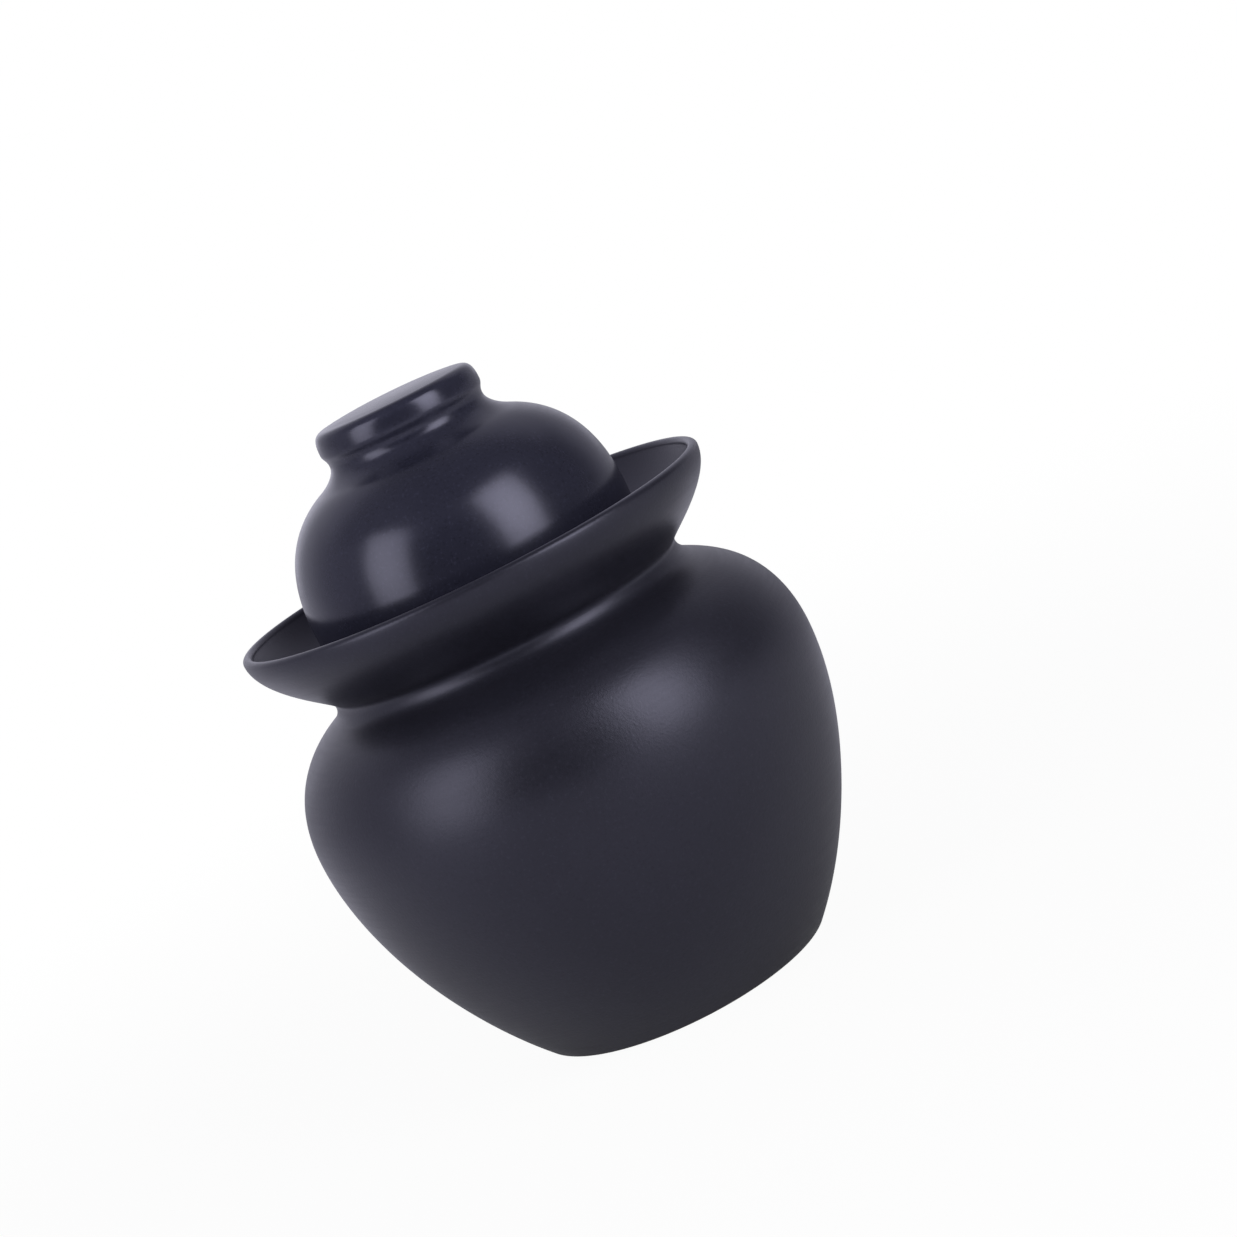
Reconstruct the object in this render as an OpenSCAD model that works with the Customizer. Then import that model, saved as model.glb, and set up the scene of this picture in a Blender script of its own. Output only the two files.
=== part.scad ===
// Water-sealed stoneware pickling jar with an inverted-bowl lid, millimetres, +Z up.
// The origin is the centre of the face that the jar stands on.
// Every piece is turned about Z: its outline is drawn in the plane of radius and height.

/* [Jar body] */
// Widest diameter of the belly
belly_d = 148.5; // [136:0.5:164]
// Height of the belly's widest line above the ground
belly_z = 76; // [64:0.2:90]
// Diameter at which the lower wall would meet the ground
foot_d = 83.4; // [74:0.2:92]
// Rise of the lower wall above the ground at the foot, in degrees
foot_angle = 47.4; // [42:0.2:62]
// Radius of the rounded edge round the foot
foot_round = 3.2; // [2:0.1:4.5]
// Width of the bare ring that the jar stands on
foot_ring_w = 5.5; // [4:0.1:9]
// Depth of the shallow recess inside that ring
foot_recess = 2; // [1:0.1:3]
// Thickness of the body's wall
body_wall = 4.5; // [3.5:0.1:5.5]
// Thickness of the body's floor above the recess
body_floor = 5; // [4:0.1:7]
// Radius of the inside corner between floor and wall
floor_round = 9; // [5:0.2:14]
// Rise from the belly's widest line to the crease under the water channel
shoulder_h = 36.1; // [30:0.1:42]
// Slope of the shoulder where it meets the neck, in degrees
shoulder_angle = 25.4; // [20:0.1:36]
// Rise of the hollow fillet between shoulder and neck
neck_fillet_h = 6.3; // [4:0.1:8]
// Width of the same fillet, before the shoulder cuts it off
neck_fillet_w = 11; // [6:0.1:13]

/* [Water channel] */
// Step out from the lid's skirt to the crease on the neck
crease_step = 4.5; // [3.6:0.1:6]
// Flare from the crease out to the rim's widest line
channel_flare = 16.8; // [13:0.1:22]
// Rise from the crease to the rim's widest line
channel_h = 21.4; // [17:0.1:26]
// Rise of the channel's outer wall above the crease, in degrees
flare_angle = 49.5; // [44:0.5:62]
// Radius of the small hollow fillet between the crease and the flare
flare_fillet = 2.5; // [1.5:0.1:3.5]
// Thickness of the channel's wall at the rim
rim_wall = 2.8; // [2.2:0.1:4]
// Slope of the channel's inside wall where it meets the lip, in degrees
rim_inside_angle = 70; // [60:1:85]
// Rise of the rounded lip above the rim's widest line
lip_rise = 1.5; // [1:0.1:2.5]
// Thickness of the channel's floor above the crease
channel_floor = 6; // [5:0.1:8]
// Free width of the channel's floor outside the lid's skirt
channel_gap = 2.5; // [2:0.1:3.4]
// Thickness of the upright neck round the mouth
neck_wall = 4.5; // [3.5:0.1:5.5]
// Gap between the neck and the inside of the lid's skirt
neck_gap = 2.2; // [1.2:0.1:3]
// Rise of the mouth's edge above the top of the lid's skirt
mouth_rise = 5.9; // [3:0.1:8]
// Radius of the mouth's rounded edges
mouth_round = 1.2; // [0.6:0.1:1.5]

/* [Bowl lid] */
// Outer diameter of the upright skirt
skirt_d = 93.6; // [86:0.2:98]
// Height of the upright skirt above the channel's floor
skirt_h = 14.8; // [12:0.1:19]
// Rise of the dome above the skirt
dome_h = 32; // [28:0.1:38]
// Slope of the dome where it turns up into the waist, in degrees
dome_angle = 24; // [20:0.1:34]
// Wall thickness of the lid
lid_wall = 4; // [3:0.1:4.8]
// Radius of the rounded corners under the skirt
skirt_round = 1.2; // [0.6:0.1:1.5]
// Rise of the hollow waist between the dome and the knob's crease
waist_h = 5.4; // [4:0.1:8]
// Reach of the waist outside the knob's crease
waist_flare = 5.8; // [4:0.1:9]

/* [Lid knob] */
// Widest diameter of the knob
knob_d = 47.4; // [42:0.2:52]
// Height of the knob's edge above its crease
knob_h = 9.7; // [7.5:0.1:11]
// Step in from the knob's widest line to its crease
knob_undercut = 0.8; // [0.5:0.1:1.4]
// Rise of the knob's gently crowned top
knob_crown = 1.4; // [0.4:0.1:2]
// Thickness of clay left over the hollow inside the knob
knob_roof = 8.2; // [7:0.1:10]

/* [Inner lid] */
// Thickness of the inner lid's plate
plate_t = 4; // [3:0.1:5]
// Step in from the neck's outside to the plate's edge
plate_step = 0.4; // [0.2:0.1:1]
// Rise of the plate from its edge to the button's stem
plate_rise = 3; // [1.5:0.1:5]
// Depth of the locating ring under the plate
locator_depth = 7; // [5:0.1:10]
// Thickness of the locating ring
locator_wall = 4; // [3:0.1:5]
// Gap between the locating ring and the mouth
locator_gap = 0.8; // [0.4:0.1:1.5]
// Diameter of the button that lifts the inner lid
button_d = 20; // [15:0.2:24]
// Height of the button above its stem
button_h = 7; // [5:0.1:8]
// Diameter of the button's stem
stem_d = 13; // [10:0.2:14]
// Height of the stem above the plate
stem_h = 3; // [2:0.1:5]

/* [Hidden] */
$fn = 96;

// Lengths of the curves' handles, as shares of the rise or the run that each curve covers
foot_handle_share = 0.339;
belly_low_handle_share = 0.340;
belly_high_handle_share = 0.538;
shoulder_handle_share = 0.241;
throat_handle_shares = [0.5, 0.5];
flare_handle_shares = [0.140, 0.401];
channel_handle_shares = [0.4, 0.5];
dome_handle_shares = [0.628, 0.269];
waist_handle_shares = [0.70, 0.32];
undercut_handle_shares = [0.5, 0.4];
knob_handle_shares = [0.73, 0.60];
hollow_handle_shares = [0.32, 0.73];
plate_handle_shares = [0.5, 0.3];
// Where the knob's widest line, its crowned top and the lip's crest lie
knob_widest_share = 0.340;
knob_flat_share = 0.853;
lip_crest_share = 0.55;
// Steps in a long curve and in a short one
long_steps = 24;
short_steps = 8;
// Points closer than this are one point
same_point = 0.001;

belly_r = belly_d / 2;
foot_r = foot_d / 2;
skirt_r = skirt_d / 2;
knob_r = knob_d / 2;
crease_r = skirt_r + crease_step;
rim_r = crease_r + channel_flare;
neck_r = skirt_r - lid_wall - neck_gap;
mouth_r = neck_r - neck_wall;

crease_z = belly_z + shoulder_h;
floor_z = crease_z + channel_floor;
rim_z = crease_z + channel_h;
dome_z = floor_z + skirt_h;
mouth_z = dome_z + mouth_rise;
waist_z = dome_z + dome_h;
knob_z = waist_z + waist_h;
top_z = knob_z + knob_h;

jar_colour = [0.20, 0.20, 0.24];
channel_colour = [0.23, 0.23, 0.27];
inner_colour = [0.28, 0.28, 0.32];
lid_colour = [0.17, 0.17, 0.21];

// A direction, from its angle above the outward radius
function heading(a) = [cos(a), sin(a)];

// A curve from p[0] to p[3] that leaves towards p[1] and arrives from p[2]
function point_at(p, u) = pow(1 - u, 3) * p[0] + 3 * u * pow(1 - u, 2) * p[1]
    + 3 * u * u * (1 - u) * p[2] + pow(u, 3) * p[3];
function slope_at(p, u) = pow(1 - u, 2) * (p[1] - p[0]) + 2 * u * (1 - u) * (p[2] - p[1])
    + u * u * (p[3] - p[2]);
function curve(p, steps) = [for (i = [0 : steps]) point_at(p, i / steps)];

// The same curve, moved to its left by the thickness of a wall
function left_of(v) = [-v[1], v[0]] / norm(v);
function walled(p, wall, steps) = [for (i = [0 : steps]) let (u = i / steps)
    point_at(p, u) + wall * left_of(slope_at(p, u))];

// Part of an ellipse about a centre, from one angle to another
function rounded(centre, rx, ry, from, to) = [for (i = [0 : short_steps])
    let (a = from + (to - from) * i / short_steps) centre + [rx * cos(a), ry * sin(a)]];

function above(points, z) = [for (p = points) if (p[1] > z) p];
function reversed(points) = [for (i = [len(points) - 1 : -1 : 0]) points[i]];

// An outline without its repeated points, turned about Z
module turned(points) {
    rotate_extrude() polygon([for (i = [0 : len(points) - 1])
        if (i == 0 || norm(points[i] - points[max(i - 1, 0)]) > same_point) points[i]]);
}

// Outside of the body: lower wall, shoulder, and a hollow fillet up to the neck
lower_wall = [
    [foot_r, 0],
    [foot_r, 0] + foot_handle_share * belly_z * heading(foot_angle),
    [belly_r, belly_z - belly_low_handle_share * belly_z],
    [belly_r, belly_z]];
fillet_centre = [crease_r + neck_fillet_w, crease_z];
fillet_turn = atan(tan(shoulder_angle) * neck_fillet_w / neck_fillet_h);
fillet_start = fillet_centre + [-neck_fillet_w * sin(fillet_turn), -neck_fillet_h * cos(fillet_turn)];
shoulder = [
    [belly_r, belly_z],
    [belly_r, belly_z + belly_high_handle_share * shoulder_h],
    fillet_start + shoulder_handle_share * shoulder_h * heading(-shoulder_angle),
    fillet_start];

// The edge round the foot turns from the ground up to the lower wall
stand_r = foot_r - foot_round * tan(foot_angle / 2);
recess_r = stand_r - foot_ring_w;
foot_edge = rounded([stand_r, foot_round], foot_round, foot_round, -90, foot_angle - 90);
foot_edge_z = foot_edge[short_steps][1];

// Inside of the body: a wall's thickness in, with a rounded floor corner and a throat
pot_floor_z = foot_recess + body_floor;
inner_lower = above(walled(lower_wall, body_wall, long_steps), pot_floor_z + floor_round);
inner_shoulder = walled(shoulder, body_wall, long_steps);
corner_top = inner_lower[0];
corner_r = corner_top[0] - floor_round / tan(foot_angle);
floor_corner = [
    [corner_r - floor_round, pot_floor_z],
    [corner_r, pot_floor_z],
    [corner_r, pot_floor_z],
    corner_top];
throat_low = inner_shoulder[long_steps];
throat = [
    throat_low,
    throat_low + throat_handle_shares[0] * (throat_low[0] - mouth_r) * heading(180 - shoulder_angle),
    [mouth_r, crease_z - throat_handle_shares[1] * (crease_z - throat_low[1])],
    [mouth_r, crease_z]];

module jar_body() {
    color(jar_colour) turned(concat(
        [[0, foot_recess], [recess_r - foot_recess, foot_recess], [recess_r, 0]],
        foot_edge,
        above(curve(lower_wall, long_steps), foot_edge_z),
        curve(shoulder, long_steps),
        rounded(fillet_centre, neck_fillet_w, neck_fillet_h, 270 - fillet_turn, 180),
        reversed(curve(throat, short_steps)),
        reversed(inner_shoulder),
        reversed(inner_lower),
        reversed(curve(floor_corner, short_steps)),
        [[0, pot_floor_z]]));
}

// Outside and inside of the water channel, and the rounded lip between them
flare_fillet_centre = [crease_r + flare_fillet, crease_z];
flare_start = flare_fillet_centre + flare_fillet * heading(90 + flare_angle);
flare = [
    flare_start,
    flare_start + flare_handle_shares[0] * channel_h * heading(flare_angle),
    [rim_r, rim_z - flare_handle_shares[1] * channel_h],
    [rim_r, rim_z]];
rim_inside_r = rim_r - rim_wall;
lip_crest_r = rim_r - lip_crest_share * rim_wall;
channel_foot_r = skirt_r + channel_gap;
channel_inside = [
    [channel_foot_r, floor_z],
    [channel_foot_r + channel_handle_shares[0] * (rim_inside_r - channel_foot_r), floor_z],
    [rim_inside_r, rim_z] - channel_handle_shares[1] * (rim_z - floor_z) * heading(rim_inside_angle),
    [rim_inside_r, rim_z]];

module water_channel() {
    color(channel_colour) turned(concat(
        [[mouth_r, crease_z]],
        rounded(flare_fillet_centre, flare_fillet, flare_fillet, 180, 90 + flare_angle),
        curve(flare, long_steps),
        rounded([lip_crest_r, rim_z], rim_r - lip_crest_r, lip_rise, 0, 90),
        rounded([lip_crest_r, rim_z], lip_crest_r - rim_inside_r, lip_rise, 90, 180),
        reversed(curve(channel_inside, long_steps)),
        [[neck_r, floor_z]],
        rounded([neck_r - mouth_round, mouth_z - mouth_round], mouth_round, mouth_round, 0, 90),
        rounded([mouth_r + mouth_round, mouth_z - mouth_round], mouth_round, mouth_round, 90, 180)));
}

// Outside of the bowl lid: dome, hollow waist and knob
waist_foot_r = knob_r - knob_undercut + waist_flare;
dome = [
    [skirt_r, dome_z],
    [skirt_r, dome_z + dome_handle_shares[0] * dome_h],
    [waist_foot_r, waist_z] + dome_handle_shares[1] * dome_h * heading(-dome_angle),
    [waist_foot_r, waist_z]];
knob_crease = [knob_r - knob_undercut, knob_z];
waist = [
    [waist_foot_r, waist_z],
    [waist_foot_r, waist_z] + waist_handle_shares[0] * waist_h * heading(180 - dome_angle),
    knob_crease - [0, waist_handle_shares[1] * waist_h],
    knob_crease];
knob_widest_z = knob_z + knob_widest_share * knob_h;
knob_flat_r = knob_flat_share * knob_r;
knob_edge_run = knob_handle_shares[1] * (knob_r - knob_flat_r);
undercut = [
    knob_crease,
    knob_crease + [0, undercut_handle_shares[0] * (knob_widest_z - knob_z)],
    [knob_r, knob_widest_z - undercut_handle_shares[1] * (knob_widest_z - knob_z)],
    [knob_r, knob_widest_z]];
knob_side = [
    [knob_r, knob_widest_z],
    [knob_r, knob_widest_z + knob_handle_shares[0] * (top_z - knob_widest_z)],
    [knob_flat_r + knob_edge_run, top_z - 2 * knob_crown / knob_flat_r * knob_edge_run],
    [knob_flat_r, top_z]];
crown = [for (i = [short_steps : -1 : 0]) let (u = i / short_steps)
    [knob_flat_r * u, top_z + knob_crown * (1 - u * u)]];

// Inside of the bowl lid: a wall's thickness in, then a hollow up into the knob
dome_inside = walled(dome, lid_wall, long_steps);
hollow_low = dome_inside[long_steps];
hollow_z = top_z - knob_roof;
hollow = [
    hollow_low,
    hollow_low + hollow_handle_shares[0] * hollow_low[0] * heading(180 - dome_angle),
    [hollow_handle_shares[1] * hollow_low[0], hollow_z],
    [0, hollow_z]];

module bowl_lid() {
    skirt_z = floor_z + skirt_round;
    color(lid_colour) turned(concat(
        rounded([skirt_r - skirt_round, skirt_z], skirt_round, skirt_round, -90, 0),
        curve(dome, long_steps),
        curve(waist, short_steps),
        curve(undercut, short_steps),
        curve(knob_side, long_steps),
        crown,
        reversed(curve(hollow, long_steps)),
        reversed(dome_inside),
        rounded([skirt_r - lid_wall + skirt_round, skirt_z], skirt_round, skirt_round, 180, 270)));
}

// The inner lid: a plate on the mouth's edge, a ring inside the mouth, and a button
plate_r = neck_r - plate_step;
plate_round = plate_t / 2;
plate_top_z = mouth_z + plate_t;
locator_r = mouth_r - locator_gap;
locator_in = locator_r - locator_wall;
stem_r = stem_d / 2;
button_r = button_d / 2;
button_z = plate_top_z + plate_rise + stem_h + button_h / 2;
plate_run = plate_r - plate_round - stem_r;
plate_top = [
    [plate_r - plate_round, plate_top_z],
    [plate_r - plate_round - plate_handle_shares[0] * plate_run, plate_top_z + plate_rise],
    [stem_r + plate_handle_shares[1] * plate_run, plate_top_z + plate_rise],
    [stem_r, plate_top_z + plate_rise]];
plate_under = [
    [0, mouth_z + plate_rise],
    [plate_handle_shares[0] * locator_in, mouth_z + plate_rise],
    [locator_in, mouth_z + plate_handle_shares[1] * plate_rise],
    [locator_in, mouth_z]];

module inner_lid() {
    ring_edge = locator_wall / 2;
    color(inner_colour) turned(concat(
        curve(plate_under, short_steps),
        rounded([locator_r - ring_edge, mouth_z - locator_depth + ring_edge], ring_edge, ring_edge,
                180, 360),
        [[locator_r, mouth_z]],
        rounded([plate_r - plate_round, mouth_z + plate_round], plate_round, plate_round, -90, 90),
        curve(plate_top, short_steps),
        rounded([stem_r, button_z], button_r - stem_r, button_h / 2, -90, 0),
        rounded([0, button_z], button_r, button_h / 2, 0, 90)));
}

jar_body();
water_channel();
inner_lid();
bowl_lid();
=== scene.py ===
"""Looks of a water-sealed stoneware pickling jar: a thrown pot with a saucer-shaped water channel,
an inner lid on its mouth and an inverted-bowl lid that stands in the channel. Metres, +Z up."""

import math

import bpy
import numpy as np
from mathutils import Matrix, Vector


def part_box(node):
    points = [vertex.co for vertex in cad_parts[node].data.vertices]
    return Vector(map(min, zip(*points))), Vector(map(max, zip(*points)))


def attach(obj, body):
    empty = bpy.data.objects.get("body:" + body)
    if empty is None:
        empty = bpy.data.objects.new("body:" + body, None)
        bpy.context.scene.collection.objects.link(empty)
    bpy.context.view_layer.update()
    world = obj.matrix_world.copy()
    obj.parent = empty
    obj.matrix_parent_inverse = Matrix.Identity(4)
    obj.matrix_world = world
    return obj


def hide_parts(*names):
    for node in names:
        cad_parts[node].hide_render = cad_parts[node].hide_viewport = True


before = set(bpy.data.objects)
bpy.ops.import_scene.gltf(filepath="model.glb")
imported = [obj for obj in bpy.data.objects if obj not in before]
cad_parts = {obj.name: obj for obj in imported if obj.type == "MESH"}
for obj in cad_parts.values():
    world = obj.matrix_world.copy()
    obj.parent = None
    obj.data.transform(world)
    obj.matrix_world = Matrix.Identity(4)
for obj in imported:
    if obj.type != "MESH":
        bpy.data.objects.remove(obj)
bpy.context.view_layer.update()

MM = 0.001

# Main sizes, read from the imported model
_, jar_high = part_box("jar_body")
_, channel_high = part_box("water_channel")
_, inner_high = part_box("inner_lid")
lid_low, lid_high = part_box("bowl_lid")
belly_r = jar_high[0]
crease_z = jar_high[2]
rim_r = channel_high[0]
mouth_z = channel_high[2]
plate_r = inner_high[0]
skirt_r = lid_high[0]
floor_z = lid_low[2]

# In each piece, a pair of shares says how far the two handles of a curve reach, against the rise or run
# that the curve covers. Angles are in degrees from level.

# Pot
belly_z = 76 * MM
foot_r = 41.7 * MM
foot_angle = 47.4
foot_round = 3.2 * MM
foot_ring_w = 5.5 * MM
foot_recess = 2 * MM
body_wall = 4.5 * MM
body_floor = 5 * MM
floor_round = 9 * MM
shoulder_angle = 25.4
neck_fillet_h = 6.3 * MM
neck_fillet_w = 11 * MM
lower_wall_shares = 0.339, 0.340
shoulder_shares = 0.538, 0.241
throat_shares = 0.5, 0.5

# Water channel
crease_step = 4.5 * MM
channel_h = 21.4 * MM
flare_angle = 49.5
flare_fillet = 2.5 * MM
flare_shares = 0.140, 0.401
rim_wall = 2.8 * MM
rim_inside_angle = 70
lip_rise = 1.5 * MM
lip_crest_share = 0.55
channel_gap = 2.5 * MM
channel_fillet = 1.2 * MM
channel_hollow_shares = 0.4, 0.5
neck_wall = 4.5 * MM
neck_gap = 2.2 * MM
mouth_round = 1.2 * MM

# Bowl lid and its knob. The highlights ask for a crease and a widest line up to 1.1 mm higher than in the
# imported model, and for a crown 0.4 mm lower, at the same full height.
skirt_h = 14.8 * MM
dome_h = 32 * MM
dome_angle = 24
dome_shares = 0.628, 0.269
lid_wall = 4 * MM
skirt_round = 1.2 * MM
waist_h = 6 * MM
waist_flare = 6 * MM
waist_shares = 0.70, 0.32
knob_r = 23.7 * MM
knob_h = 9.5 * MM
knob_undercut = 1 * MM
undercut_shares = 0.5, 0.4
knob_widest_share = 0.40
knob_side_share = 0.82
knob_edge_share = 0.60
knob_flat_share = 0.853
knob_crown = 1 * MM
crown_power = 3
knob_roof = 8.5 * MM
lid_hollow_shares = 0.32, 0.73

# Inner lid
plate_t = 4 * MM
plate_rise = 3 * MM
plate_shares = 0.5, 0.3
locator_depth = 7 * MM
locator_wall = 4 * MM
locator_gap = 0.8 * MM
button_r = 10 * MM
button_h = 7 * MM
stem_r = 6.5 * MM
stem_h = 3 * MM

# How far the thrown pieces stray: slow waves round each wall, as a depth, a number in one turn, a drift
# for each metre of height and a start in radians, and how far to +X the foot and the channel lie, with
# what lies in it. The bowl lid's own distance is added to the channel's.
thrown_waves = (0.10 * MM, 2, 38, 0.6), (0.06 * MM, 3, -55, 2.2), (0.03 * MM, 5, 90, 4.0)
foot_aside, foot_aside_h = 0.5 * MM, 45 * MM
channel_aside, channel_aside_z, channel_aside_h = -0.41 * MM, 98 * MM, 18 * MM
lid_aside = -0.72 * MM

# How finely a skin is drawn, and how far a soft edge reaches on each side of its corner
TURNS = 256
LONG, SHORT = 56, 14
LONGEST_STEP = 2 * MM
EDGE_REACH = 0.45 * MM
EDGE_STEPS = 5
CORNER_DEGREES = 25
SHARP_DEGREES = 35
ON_AXIS = 1e-7
SAME_POINT = 1e-6

# Places that follow from the sizes above
shoulder_h = crease_z - belly_z
crease_r = skirt_r + crease_step
rim_z = crease_z + channel_h
rim_inside_r = rim_r - rim_wall
neck_r = skirt_r - lid_wall - neck_gap
mouth_r = neck_r - neck_wall
dome_z = floor_z + skirt_h
waist_z = dome_z + dome_h
knob_z = waist_z + waist_h
top_z = knob_z + knob_h
lip_crest_r = rim_r - lip_crest_share * rim_wall


def point(r, z):
    """A point of an outline, in the plane of radius and height."""
    return np.array([r, z], float)


def heading(degrees):
    """The direction (cos a, sin a), from its angle above the outward radius."""
    return point(math.cos(math.radians(degrees)), math.sin(math.radians(degrees)))


def curve(corners, steps):
    """The cubic (1-u)^3 a + 3u(1-u)^2 b + 3u^2(1-u) c + u^3 d, u going from 0 to 1 in equal steps."""
    a, b, c, d = corners
    u = np.linspace(0, 1, steps + 1)[:, None]
    return (1 - u) ** 3 * a + 3 * u * (1 - u) ** 2 * b + 3 * u * u * (1 - u) * c + u ** 3 * d


def walled(corners, wall, steps):
    """The same cubic moved to its left by a wall's thickness, square to its slope at each point."""
    a, b, c, d = corners
    u = np.linspace(0, 1, steps + 1)[:, None]
    slope = (1 - u) ** 2 * (b - a) + 2 * u * (1 - u) * (c - b) + u * u * (d - c)
    left = np.stack([-slope[:, 1], slope[:, 0]], 1) / np.linalg.norm(slope, axis=1)[:, None]
    return curve(corners, steps) + wall * left


def arc(centre, rx, rz, start, end, steps=SHORT):
    """Part of an ellipse: centre + (rx cos a, rz sin a), a going from start to end in degrees."""
    a = np.radians(np.linspace(start, end, steps + 1))
    return centre + np.stack([rx * np.cos(a), rz * np.sin(a)], 1)


def above(points, z):
    """The points of an outline that lie above a height."""
    return points[points[:, 1] > z]


def joined(*runs):
    """Runs of points as one closed outline, without its repeated points."""
    points = np.vstack(runs)
    step = np.linalg.norm(points - np.roll(points, 1, axis=0), axis=1)
    return points[step > SAME_POINT]


def eased(points, reach=EDGE_REACH):
    """Each sharp corner c of a closed outline gives way to the parabola (1-u)^2 p + 2u(1-u) c + u^2 q,
    where p and q lie on the outline a short reach before and after it. At the joint between pot and
    channel the corners stay, so that the joint closes."""
    ahead = np.roll(points, -1, axis=0) - points
    behind = points - np.roll(points, 1, axis=0)
    turn = np.degrees(np.arctan2(
        behind[:, 0] * ahead[:, 1] - behind[:, 1] * ahead[:, 0], np.sum(behind * ahead, 1)))
    luted = np.abs(points[:, 1] - crease_z) < ON_AXIS
    corners = np.flatnonzero((np.abs(turn) > CORNER_DEGREES) & (points[:, 0] > ON_AXIS) & ~luted)
    along = np.r_[0, np.cumsum(np.linalg.norm(ahead, axis=1))]
    whole = along[-1]
    place = along[:-1]
    ring_r, ring_z = np.r_[points[:, 0], points[0, 0]], np.r_[points[:, 1], points[0, 1]]

    def on_outline(s):
        """The outline's point at a length s along it."""
        return point(np.interp(s % whole, along, ring_r), np.interp(s % whole, along, ring_z))

    kept = np.ones(len(points), bool)
    softened = {}
    for k in corners:
        away = (place - place[k] + whole / 2) % whole - whole / 2
        kept &= np.abs(away) > reach
        u = np.linspace(0, 1, EDGE_STEPS + 1)[:, None]
        p, q = on_outline(place[k] - reach), on_outline(place[k] + reach)
        softened[place[k]] = (1 - u) ** 2 * p + 2 * u * (1 - u) * points[k] + u * u * q
    runs = {s: points[i:i + 1] for i, s in enumerate(place) if kept[i]} | softened
    return np.vstack([runs[s] for s in sorted(runs)])


def refined(points, longest=LONGEST_STEP):
    """A closed outline whose long straight steps are shared out into equal shorter ones."""
    after = np.roll(points, -1, axis=0)
    parts = np.maximum(np.ceil(np.linalg.norm(after - points, axis=1) / longest).astype(int), 1)
    axial = (points[:, 0] < ON_AXIS) & (after[:, 0] < ON_AXIS)
    parts[axial] = 1
    return np.vstack([a + (b - a) * np.arange(n)[:, None] / n for a, b, n in zip(points, after, parts)])


def unevenness(turn, z):
    """How far a thrown wall strays outwards: the sum of depth * sin(number * turn + drift * z + start)
    over its slow waves."""
    return sum(depth * np.sin(number * turn + drift * z + start)
               for depth, number, drift, start in thrown_waves)


def smooth_step(u):
    """3u^2 - 2u^3, which rises from 0 at u = 0 to 1 at u = 1, and is level before and after."""
    u = np.clip(u, 0, 1)
    return u * u * (3 - 2 * u)


def aside(z):
    """How far a ring lies to +X: a distance at the foot that fades out going up, 0 round the belly, and
    another distance at the channel and above, with smooth steps between."""
    return (foot_aside * smooth_step(1 - z / foot_aside_h)
            + channel_aside * smooth_step((z - channel_aside_z) / channel_aside_h))


def skin(name, outline, off_centre=0.0):
    """A closed outline turned about Z. Its point (r, z) becomes the ring (s cos a + d, s sin a, z), where
    s is r plus the unevenness at that place, which fades out towards the axis, and d is how far the ring
    lies to the side. A point on the axis stays one."""
    outline = refined(eased(outline))
    r, z = outline.T
    on_axis = r < ON_AXIS
    turn = np.linspace(0, 2 * math.pi, TURNS, endpoint=False)[None]
    fade = np.minimum(r / knob_r, 1)[:, None]
    s = r[:, None] + fade * unevenness(turn, z[:, None])
    s[on_axis] = 0
    rings = np.stack([s * np.cos(turn), s * np.sin(turn), np.repeat(z[:, None], TURNS, 1)], -1)
    rings[:, :, 0] += aside(z)[:, None] + off_centre
    used = np.ones(rings.shape[:2], bool)
    used[on_axis, 1:] = False
    index = (np.cumsum(used) - 1).reshape(used.shape)
    index[on_axis] = index[on_axis, :1]

    low, high = index, np.roll(index, -1, axis=0)
    quads = np.stack([low, np.roll(low, -1, axis=1), np.roll(high, -1, axis=1), high], -1)
    next_on_axis = np.roll(on_axis, -1)
    round_faces = quads[~on_axis & ~next_on_axis].reshape(-1, 4).tolist()
    end_faces = quads[~on_axis & next_on_axis][:, :, :3].reshape(-1, 3).tolist()
    start_faces = quads[on_axis & ~next_on_axis][:, :, 1:].reshape(-1, 3).tolist()

    mesh = bpy.data.meshes.new(name)
    mesh.from_pydata(rings[used].tolist(), [], round_faces + end_faces + start_faces)
    mesh.validate()
    mesh.shade_smooth()
    mesh.set_sharp_from_angle(angle=math.radians(SHARP_DEGREES))
    piece = bpy.data.objects.new(name, mesh)
    bpy.context.collection.objects.link(piece)
    return piece


def fit(piece, node, body, finish):
    """Puts a finished piece in a node's place, on its body, with its finish."""
    piece.data.materials.append(finish)
    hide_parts(node)
    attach(piece, body)


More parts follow.
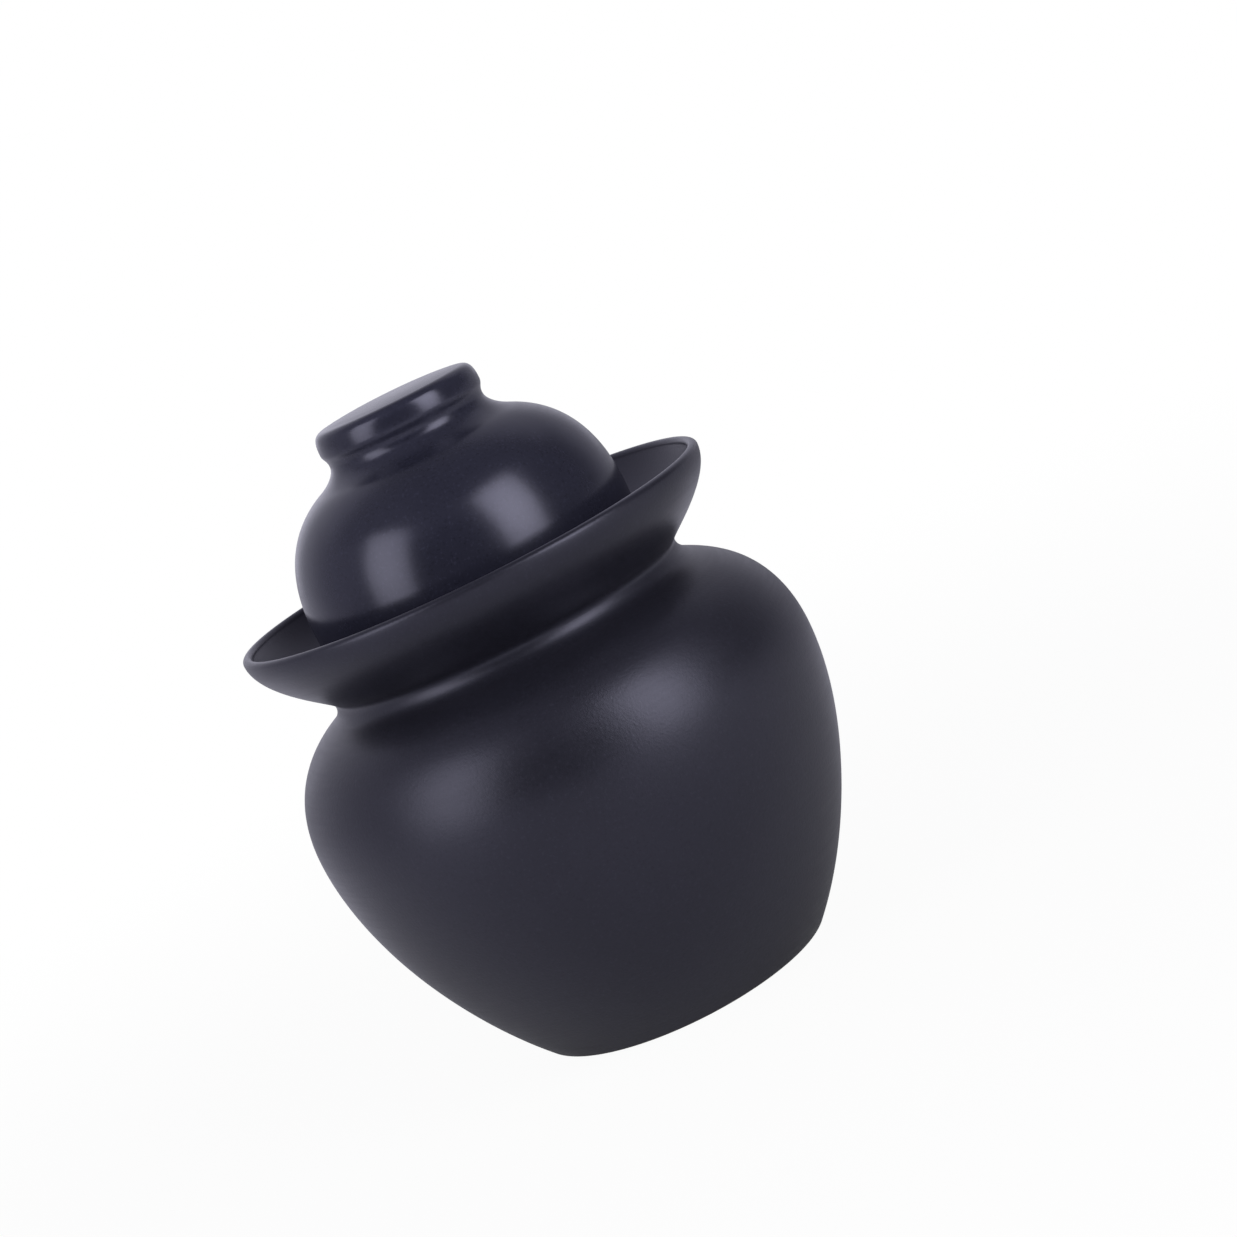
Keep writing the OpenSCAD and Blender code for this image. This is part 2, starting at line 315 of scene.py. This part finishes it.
# Pot: outside from the foot up to the crease, then the throat and the inside down to the floor
def jar_body_outline():
    """Foot ring, lower wall, shoulder, hollow fillet, throat, and the same walls a thickness further in."""
    lower_wall = [
        point(foot_r, 0),
        point(foot_r, 0) + lower_wall_shares[0] * belly_z * heading(foot_angle),
        point(belly_r, belly_z - lower_wall_shares[1] * belly_z),
        point(belly_r, belly_z)]
    fillet_centre = point(crease_r + neck_fillet_w, crease_z)
    fillet_turn = math.atan(math.tan(math.radians(shoulder_angle)) * neck_fillet_w / neck_fillet_h)
    fillet_start = fillet_centre - point(
        neck_fillet_w * math.sin(fillet_turn), neck_fillet_h * math.cos(fillet_turn))
    shoulder = [
        point(belly_r, belly_z),
        point(belly_r, belly_z + shoulder_shares[0] * shoulder_h),
        fillet_start + shoulder_shares[1] * shoulder_h * heading(-shoulder_angle),
        fillet_start]

    stand_r = foot_r - foot_round * math.tan(math.radians(foot_angle / 2))
    foot_edge = arc(point(stand_r, foot_round), foot_round, foot_round, -90, foot_angle - 90)
    recess_r = stand_r - foot_ring_w

    pot_floor_z = foot_recess + body_floor
    inner_lower = above(walled(lower_wall, body_wall, LONG), pot_floor_z + floor_round)
    inner_shoulder = walled(shoulder, body_wall, LONG)
    corner_r = inner_lower[0][0] - floor_round / math.tan(math.radians(foot_angle))
    floor_corner = [
        point(corner_r - floor_round, pot_floor_z),
        point(corner_r, pot_floor_z),
        point(corner_r, pot_floor_z),
        inner_lower[0]]
    throat_low = inner_shoulder[-1]
    throat = [
        throat_low,
        throat_low + throat_shares[0] * (throat_low[0] - mouth_r) * heading(180 - shoulder_angle),
        point(mouth_r, crease_z - throat_shares[1] * (crease_z - throat_low[1])),
        point(mouth_r, crease_z)]
    return joined(
        [point(0, foot_recess), point(recess_r - foot_recess, foot_recess), point(recess_r, 0)],
        foot_edge,
        above(curve(lower_wall, LONG), foot_edge[-1][1]),
        curve(shoulder, LONG),
        arc(fillet_centre, neck_fillet_w, neck_fillet_h, 270 - math.degrees(fillet_turn), 180),
        curve(throat, SHORT)[::-1],
        inner_shoulder[::-1],
        inner_lower[::-1],
        curve(floor_corner, SHORT)[::-1],
        [point(0, pot_floor_z)])


# Water channel: flared outside, rounded lip, hollow inside, and the upright neck round the mouth
def water_channel_outline():
    """A small fillet and a flare up to the lip, half an ellipse over it, the hollow back down, the neck."""
    fillet_centre = point(crease_r + flare_fillet, crease_z)
    fillet_end = fillet_centre + flare_fillet * heading(90 + flare_angle)
    flare = [
        fillet_end,
        fillet_end + flare_shares[0] * channel_h * heading(flare_angle),
        point(rim_r, rim_z - flare_shares[1] * channel_h),
        point(rim_r, rim_z)]
    hollow_r = skirt_r + channel_gap
    hollow_h = rim_z - floor_z
    hollow = [
        point(hollow_r, floor_z),
        point(hollow_r + channel_hollow_shares[0] * (rim_inside_r - hollow_r), floor_z),
        point(rim_inside_r, rim_z) - channel_hollow_shares[1] * hollow_h * heading(rim_inside_angle),
        point(rim_inside_r, rim_z)]
    edge_z = mouth_z - mouth_round
    corner = point(neck_r + channel_fillet, floor_z + channel_fillet)
    return joined(
        [point(mouth_r, crease_z)],
        arc(fillet_centre, flare_fillet, flare_fillet, 180, 90 + flare_angle),
        curve(flare, LONG),
        arc(point(lip_crest_r, rim_z), rim_r - lip_crest_r, lip_rise, 0, 90),
        arc(point(lip_crest_r, rim_z), lip_crest_r - rim_inside_r, lip_rise, 90, 180),
        curve(hollow, LONG)[::-1],
        arc(corner, channel_fillet, channel_fillet, 270, 180),
        arc(point(neck_r - mouth_round, edge_z), mouth_round, mouth_round, 0, 90),
        arc(point(mouth_r + mouth_round, edge_z), mouth_round, mouth_round, 90, 180))


# Bowl lid: upright skirt, dome, hollow waist and knob, then the hollow inside
def bowl_lid_outline():
    """Dome and waist up to the knob's crease, the knob's rounded band and its crowned top, which falls by
    knob_crown * u^3 from the axis to the edge of the flat, and the hollow."""
    waist_foot = point(knob_r - knob_undercut + waist_flare, waist_z)
    dome = [
        point(skirt_r, dome_z),
        point(skirt_r, dome_z + dome_shares[0] * dome_h),
        waist_foot + dome_shares[1] * dome_h * heading(-dome_angle),
        waist_foot]
    knob_crease = point(knob_r - knob_undercut, knob_z)
    waist = [
        waist_foot,
        waist_foot + waist_shares[0] * waist_h * heading(180 - dome_angle),
        knob_crease - point(0, waist_shares[1] * waist_h),
        knob_crease]
    widest_z = knob_z + knob_widest_share * knob_h
    undercut_h = widest_z - knob_z
    undercut = [
        knob_crease,
        knob_crease + point(0, undercut_shares[0] * undercut_h),
        point(knob_r, widest_z - undercut_shares[1] * undercut_h),
        point(knob_r, widest_z)]
    flat_r = knob_flat_share * knob_r
    edge_run = knob_edge_share * (knob_r - flat_r)
    edge_fall = crown_power * knob_crown / flat_r
    knob_side = [
        point(knob_r, widest_z),
        point(knob_r, widest_z + knob_side_share * (top_z - widest_z)),
        point(flat_r + edge_run, top_z - edge_fall * edge_run),
        point(flat_r, top_z)]
    u = np.linspace(1, 0, SHORT + 1)
    crown = np.stack([flat_r * u, top_z + knob_crown * (1 - u ** crown_power)], 1)

    dome_inside = walled(dome, lid_wall, LONG)
    hollow_low = dome_inside[-1]
    hollow_z = top_z - knob_roof
    hollow = [
        hollow_low,
        hollow_low + lid_hollow_shares[0] * hollow_low[0] * heading(180 - dome_angle),
        point(lid_hollow_shares[1] * hollow_low[0], hollow_z),
        point(0, hollow_z)]
    skirt_z = floor_z + skirt_round
    return joined(
        arc(point(skirt_r - skirt_round, skirt_z), skirt_round, skirt_round, -90, 0),
        curve(dome, LONG),
        curve(waist, SHORT),
        curve(undercut, SHORT),
        curve(knob_side, LONG // 2),
        crown,
        curve(hollow, LONG // 2)[::-1],
        dome_inside[::-1],
        arc(point(skirt_r - lid_wall + skirt_round, skirt_z), skirt_round, skirt_round, 180, 270))


# Inner lid: domed plate on the mouth's edge, a locating ring inside it and a button on a stem
def inner_lid_outline():
    """The plate's hollow underside, the ring, the plate's rounded edge and top, the stem and the button."""
    plate_round = plate_t / 2
    plate_top_z = mouth_z + plate_t
    plate_edge_r = plate_r - plate_round
    plate_run = plate_edge_r - stem_r
    locator_r = mouth_r - locator_gap
    locator_in = locator_r - locator_wall
    ring_edge = locator_wall / 2
    ring_end = point(locator_r - ring_edge, mouth_z - locator_depth + ring_edge)
    button_z = plate_top_z + plate_rise + stem_h + button_h / 2
    plate_top = [
        point(plate_edge_r, plate_top_z),
        point(plate_edge_r - plate_shares[0] * plate_run, plate_top_z + plate_rise),
        point(stem_r + plate_shares[1] * plate_run, plate_top_z + plate_rise),
        point(stem_r, plate_top_z + plate_rise)]
    plate_under = [
        point(0, mouth_z + plate_rise),
        point(plate_shares[0] * locator_in, mouth_z + plate_rise),
        point(locator_in, mouth_z + plate_shares[1] * plate_rise),
        point(locator_in, mouth_z)]
    return joined(
        curve(plate_under, SHORT),
        arc(ring_end, ring_edge, ring_edge, 180, 360),
        [point(locator_r, mouth_z)],
        arc(point(plate_edge_r, mouth_z + plate_round), plate_round, plate_round, -90, 90),
        curve(plate_top, LONG // 2),
        arc(point(stem_r, button_z), button_r - stem_r, button_h / 2, -90, 0),
        arc(point(0, button_z), button_r, button_h / 2, 0, 90))


# Clays, and the painted light in the channel's hollow, as linear red, green and blue
matt_clay = 0.0118, 0.0116, 0.0179
satin_clay = 0.0181, 0.0183, 0.0312
bare_clay = 0.055, 0.047, 0.043
# Painted light: a paler colour for the channel's hollow, standing in for the light that it catches from the
# room
hollow_painted_light = 0.055, 0.054, 0.075

# Marks in the clay: their sizes, and how deep the swell and the turning lines are, in millimetres. The
# turning lines are long round the jar and short up it, by a squeeze of their pattern.
cloud_size = 34 * MM
swell_size = 5 * MM
speck_size = 0.9 * MM
grain_size = 0.8 * MM
turning_size = 0.8 * MM
turning_squeeze = 0.04, 0.04, 1.0
swell_depth = 0.020
turning_depth = 0.006

# The fired skin's refraction and the colour of its highlights
skin_ior = 1.54
skin_tint = 0.77, 0.76, 1.0, 1.0

# The bare ring under the foot, and where the painted light in the channel's hollow ends: on the middle of
# its wall, which leans in under the rim by depth * (lean + curl * depth), with a soft edge
bare_foot_h = 0.9 * MM
bare_foot_w = 9 * MM
wall_lean, wall_curl = 0.256, 29.5
hollow_edge = 0.4 * MM

# Colours of the light, as the camera sees it and as the jar sees the floor and the room
white_light = 1.0, 1.0, 1.0, 1.0
floor_light = 0.90, 0.89, 1.03, 1.0
room_light = 0.87, 0.86, 1.0, 1.0


def _sum(operation, swapped=False):
    """The operator that adds a Math node, with the wire as its first value or, if swapped, its second."""
    def apply(self, other):
        pair = (other, self) if swapped else (self, other)
        return self.recipe.node("ShaderNodeMath", {"operation": operation}, dict(enumerate(pair)))
    return apply


class Wire:
    """An output socket. Sums, products and powers of wires add Math nodes to the same recipe."""

    def __init__(self, recipe, socket):
        self.recipe, self.socket = recipe, socket

    __add__, __radd__ = _sum("ADD"), _sum("ADD", True)
    __sub__, __rsub__ = _sum("SUBTRACT"), _sum("SUBTRACT", True)
    __mul__, __rmul__ = _sum("MULTIPLY"), _sum("MULTIPLY", True)
    __pow__, __rpow__ = _sum("POWER"), _sum("POWER", True)


class Recipe:
    """The node tree of a material, a lamp or the world, filled by one method."""

    def __init__(self, owner):
        owner.use_nodes = True
        self.tree = owner.node_tree
        self.tree.nodes.clear()

    def node(self, kind, settings=None, inputs=None, output=0):
        """Adds a node, sets it up, fills or links its sockets by name or number, and returns one output."""
        made = self.tree.nodes.new(kind)
        for key, value in (settings or {}).items():
            setattr(made, key, value)
        for key, value in (inputs or {}).items():
            if isinstance(value, Wire):
                self.tree.links.new(value.socket, made.inputs[key])
            else:
                made.inputs[key].default_value = value
        return Wire(self, made.outputs[output]) if made.outputs else None

    def axes(self, vector):
        """The X, Y and Z of a vector."""
        return (self.node("ShaderNodeSeparateXYZ", {}, {0: vector}, output=axis) for axis in "XYZ")

    def ramp(self, value, low, high, to_low=0.0, to_high=1.0):
        """A smooth step from to_low at low to to_high at high. Low may be the larger of the two."""
        return self.node(
            "ShaderNodeMapRange", {"interpolation_type": "SMOOTHSTEP"},
            {"Value": value, "From Min": low, "From Max": high, "To Min": to_low, "To Max": to_high})

    def noise(self, vector, size, detail=2.0, roughness=0.5):
        """Soft noise about 0.5, with marks of a given size in metres."""
        return self.node(
            "ShaderNodeTexNoise", {},
            {"Vector": vector, "Scale": 1 / size, "Detail": detail, "Roughness": roughness})

    def blend(self, factor, first, second):
        """A colour between two, by a factor from 0 to 1."""
        return self.node(
            "ShaderNodeMix", {"data_type": "RGBA"}, {0: factor, 6: first, 7: second}, output=2)


def tinted(colour, share=1.0):
    """A colour made lighter or darker by a share, as RGBA."""
    return (*(c * share for c in colour), 1.0)


def stoneware(name, clay, roughness, grain_depth, worn_edge, bare_foot=False, painted_light_in_hollow=False):
    """Charcoal stoneware: cloudy and finely speckled colour, a fine grain of a depth in millimetres, faint
    lines from the turning, and one edge, as its radius, height and reach, rubbed smoother and paler.
    Where they are asked for, the ring that the jar stands on is bare clay, and the channel's hollow is
    painted paler, as painted light, nearer to the axis than the middle of its wall and above its floor."""
    material = bpy.data.materials.new(name)
    mix = Recipe(material)
    place = mix.node("ShaderNodeTexCoord", output="Object")
    x, y, z = mix.axes(place)
    radius = (x * x + y * y) ** 0.5

    clouds = mix.noise(place, cloud_size, detail=3.0)
    specks = mix.noise(place, speck_size, detail=1.0, roughness=0.7)
    grain = mix.noise(place, grain_size, detail=3.0, roughness=0.65)
    swell = mix.noise(place, swell_size, detail=1.0)
    squeezed = mix.node("ShaderNodeMapping", {}, {"Vector": place, "Scale": turning_squeeze})
    turning = mix.noise(squeezed, turning_size, detail=2.0, roughness=0.6)

    edge_r, edge_z, edge_reach = worn_edge
    away = ((radius - edge_r) ** 2.0 + (z - edge_z) ** 2.0) ** 0.5
    worn = mix.node(
        "ShaderNodeMath", {"operation": "MULTIPLY", "use_clamp": True},
        {0: mix.ramp(away, 0.0, edge_reach, 1.0, 0.0), 1: clouds * 1.6})

    colour = mix.blend(mix.ramp(clouds, 0.3, 0.7), tinted(clay, 0.90), tinted(clay, 1.10))
    colour = mix.blend(mix.ramp(specks, 0.58, 0.74) * 0.5, colour, tinted(clay, 1.75))
    colour = mix.blend(mix.ramp(specks, 0.42, 0.28) * 0.5, colour, tinted(clay, 0.55))
    colour = mix.blend(worn * 0.25, colour, tinted(clay, 1.9))
    dullness = roughness + 0.10 * (clouds - 0.5) + 0.08 * (turning - 0.5) - 0.05 * worn
    height = grain * grain_depth + swell * swell_depth + turning * turning_depth

    if bare_foot:
        bare_r = foot_r - bare_foot_w
        bare = mix.ramp(z, bare_foot_h, bare_foot_h / 3) * mix.ramp(radius, bare_r, bare_r + MM)
        colour = mix.blend(bare, colour, tinted(bare_clay))
        dullness = dullness + 0.3 * bare

    # Painted light: the channel's hollow is coloured paler, in place of the light that it catches from the
    # room
    if painted_light_in_hollow:
        depth = rim_z - z
        middle_of_wall = rim_r - rim_wall / 2 - depth * (wall_lean + wall_curl * depth)
        inside = mix.ramp(radius - middle_of_wall, hollow_edge, -hollow_edge)
        over_floor = mix.ramp(z, floor_z - hollow_edge, floor_z)
        colour = mix.blend(inside * over_floor, colour, tinted(hollow_painted_light))

    bump = mix.node("ShaderNodeBump", {}, {"Strength": 1.0, "Distance": MM, "Height": height})
    shader = mix.node("ShaderNodeBsdfPrincipled", {}, {
        "Base Color": colour, "Roughness": dullness, "Normal": bump,
        "IOR": skin_ior, "Specular Tint": skin_tint})
    mix.node("ShaderNodeOutputMaterial", {}, {"Surface": shader})
    return material


# The four pieces
fit(skin("thrown_pot", jar_body_outline()), "jar_body", "jar",
    stoneware("pot_stoneware", matt_clay, roughness=0.37, grain_depth=0.045,
              worn_edge=(foot_r, 2 * MM, 5 * MM), bare_foot=True))
# The saucer's hollow gets painted light, a paler colour in place of the light it catches
fit(skin("water_saucer", water_channel_outline()), "water_channel", "jar",
    stoneware("saucer_stoneware", matt_clay, roughness=0.37, grain_depth=0.040,
              worn_edge=(lip_crest_r, rim_z + lip_rise, 3 * MM), painted_light_in_hollow=True))
fit(skin("mouth_lid", inner_lid_outline()), "inner_lid", "inner_cover",
    stoneware("mouth_lid_stoneware", matt_clay, roughness=0.42, grain_depth=0.010,
              worn_edge=(plate_r, mouth_z + plate_t / 2, 3 * MM)))
fit(skin("bowl_cover", bowl_lid_outline(), lid_aside), "bowl_lid", "outer_cover",
    stoneware("bowl_stoneware", satin_clay, roughness=0.23, grain_depth=0.005,
              worn_edge=(knob_r - 1.5 * MM, top_z - 1.5 * MM, 4 * MM)))


# Camera: where the photograph was taken from, leaning so that the jar's top leans left
def photo_camera(distance=0.7722, height=0.2303, down=9.639, right=2.06, lean=26.05, lens=83.63):
    """A square frame seen from -Y, turned down, right and over by the given degrees."""
    camera = bpy.data.objects.new("photo_camera", bpy.data.cameras.new("photo_camera"))
    camera.data.lens = lens
    camera.data.sensor_width = 36
    camera.data.clip_start = 0.02
    camera.matrix_world = (
        Matrix.Translation((0, -distance, height))
        @ Matrix.Rotation(math.radians(-right), 4, "Z")
        @ Matrix.Rotation(math.radians(90 - down), 4, "X")
        @ Matrix.Rotation(math.radians(-lean), 4, "Z"))
    bpy.context.collection.objects.link(camera)
    bpy.context.scene.camera = camera


def softbox(name, azimuth, radiance, elevation=21, distance=1.3, width=0.74, height=1.22):
    """A rectangular lamp that looks at the middle of the jar, at an azimuth from the camera's side. Its
    cloth is brightest in the middle: the light there is middle - fall * a^2, where a is how far a point
    of it lies from the centre, with each side counted as 1."""
    middle, fall = 1.15, 1.4
    lamp = bpy.data.lights.new(name, "AREA")
    lamp.shape = "RECTANGLE"
    lamp.size, lamp.size_y = width, height
    lamp.energy = radiance * math.pi * width * height
    mix = Recipe(lamp)
    across = mix.node("ShaderNodeNewGeometry", output="Parametric")
    away = mix.node(
        "ShaderNodeVectorMath", {"operation": "DISTANCE"}, {0: across, 1: (0.5, 0.5, 0)}, output="Value")
    glow = mix.node(
        "ShaderNodeEmission", {}, {"Color": white_light, "Strength": middle - fall * away * away})
    mix.node("ShaderNodeOutputLight", {}, {"Surface": glow})
    a, e = math.radians(azimuth), math.radians(elevation)
    aim = Vector((0, 0, floor_z))
    back = Vector((math.sin(a) * math.cos(e), -math.cos(a) * math.cos(e), math.sin(e)))
    box = bpy.data.objects.new(name, lamp)
    facing_jar = back.to_track_quat("Z", "Y").to_matrix().to_4x4()
    box.matrix_world = Matrix.Translation(aim + back * distance) @ facing_jar
    box.visible_camera = False
    bpy.context.collection.objects.link(box)


def pale_floor(size=12.0, shadow_reach=0.6, paint_white=0.80):
    """A pale floor, as a square just under the jar. The camera sees its shaded paint near the jar, and
    plain white further out. A reflection in the jar sees the paint in front, and a glow behind and, in
    part, on the left. The glow weakens with distance, and to the right."""
    half = size / 2
    level = -0.1 * MM
    mesh = bpy.data.meshes.new("studio_floor")
    corners = [(-half, -half, level), (half, -half, level), (half, half, level), (-half, half, level)]
    mesh.from_pydata(corners, [], [(0, 1, 2, 3)])
    floor = bpy.data.objects.new("studio_floor", mesh)
    bpy.context.collection.objects.link(floor)
    material = bpy.data.materials.new("studio_floor")
    mix = Recipe(material)
    place = mix.node("ShaderNodeTexCoord", output="Object")
    away = mix.node("ShaderNodeVectorMath", {"operation": "LENGTH"}, {0: place}, output="Value")
    x, y, _ = mix.axes(place)
    camera_ray = mix.node("ShaderNodeLightPath", output="Is Camera Ray")
    glossy_ray = mix.node("ShaderNodeLightPath", output="Is Glossy Ray")

    paint = mix.node("ShaderNodeBsdfDiffuse", {}, {"Color": tinted((paint_white,) * 3)})
    glow = mix.ramp(away, 0.15, 0.6, 1.0, 0.66) * mix.ramp(x, 0.1, 0.3, 1.0, 0.6)
    white = mix.node("ShaderNodeEmission", {}, {
        "Color": mix.blend(camera_ray, floor_light, white_light),
        "Strength": camera_ray + (1 - camera_ray) * glow})
    behind = mix.ramp(y, 0.0, 0.3)
    left = mix.ramp(x, -0.05, -0.3, 0.0, 0.4)
    mirrored = behind + (1 - behind) * left
    share = camera_ray * mix.ramp(away, 0.1, shadow_reach, 0.95, 1.0) + glossy_ray * mirrored
    surface = mix.node("ShaderNodeMixShader", {}, {0: share, 1: paint, 2: white})
    mix.node("ShaderNodeOutputMaterial", {}, {"Surface": surface})
    mesh.materials.append(material)


def studio_world(left_wall=0.49, right_wall=0.14, behind_camera=0.03):
    """White to the camera. To the jar it is a dim room: a white backdrop behind, on the +Y side, brighter
    towards its middle, dimmer to the right, and curving over the jar above; a pale wall on the left, a
    dim one on the right, a dim ceiling that is brighter to the left, and dark behind the camera."""
    world = bpy.data.worlds.new("studio")
    bpy.context.scene.world = world
    mix = Recipe(world)
    facing = mix.node("ShaderNodeTexCoord", output="Generated")
    x, y, z = mix.axes(facing)
    camera_ray = mix.node("ShaderNodeLightPath", output="Is Camera Ray")

    low = mix.ramp(z, 0.7, 0.4)
    backdrop = mix.ramp(y, 0.3, 0.8, 0.0, 0.68) + mix.ramp(y, 0.8, 0.96, 0.0, 0.36)
    backdrop = backdrop * mix.ramp(x, -0.1, 0.2, 1.0, 0.66)
    beside = mix.ramp(y, -0.5, 0.0) * mix.ramp(y, 0.8, 0.3)
    walls = beside * (mix.ramp(x, 0.0, 0.2, 0.0, right_wall) + mix.ramp(x, 0.0, -0.2, 0.0, left_wall))
    dark = mix.ramp(y, 0.0, -0.5, 0.0, behind_camera)
    ceiling = mix.ramp(z, 0.4, 0.7, 0.0, 0.20) * mix.ramp(x, 0.0, -0.5, 1.0, 1.8)
    curve_over = mix.ramp(z, 0.45, 0.6) * mix.ramp(z, 0.9, 0.75) * mix.ramp(y, 0.2, 0.5, 0.0, 0.25)
    room = curve_over + low * (backdrop + walls + dark) + ceiling
    background = mix.node("ShaderNodeBackground", {}, {
        "Color": mix.blend(camera_ray, room_light, white_light),
        "Strength": camera_ray + (1 - camera_ray) * room})
    mix.node("ShaderNodeOutputWorld", {}, {"Surface": background})


photo_camera()
softbox("right_softbox", azimuth=43, radiance=4.30)
softbox("left_softbox", azimuth=-54.5, radiance=2.92)
pale_floor()
studio_world()
bpy.context.scene.view_settings.view_transform = "Standard"
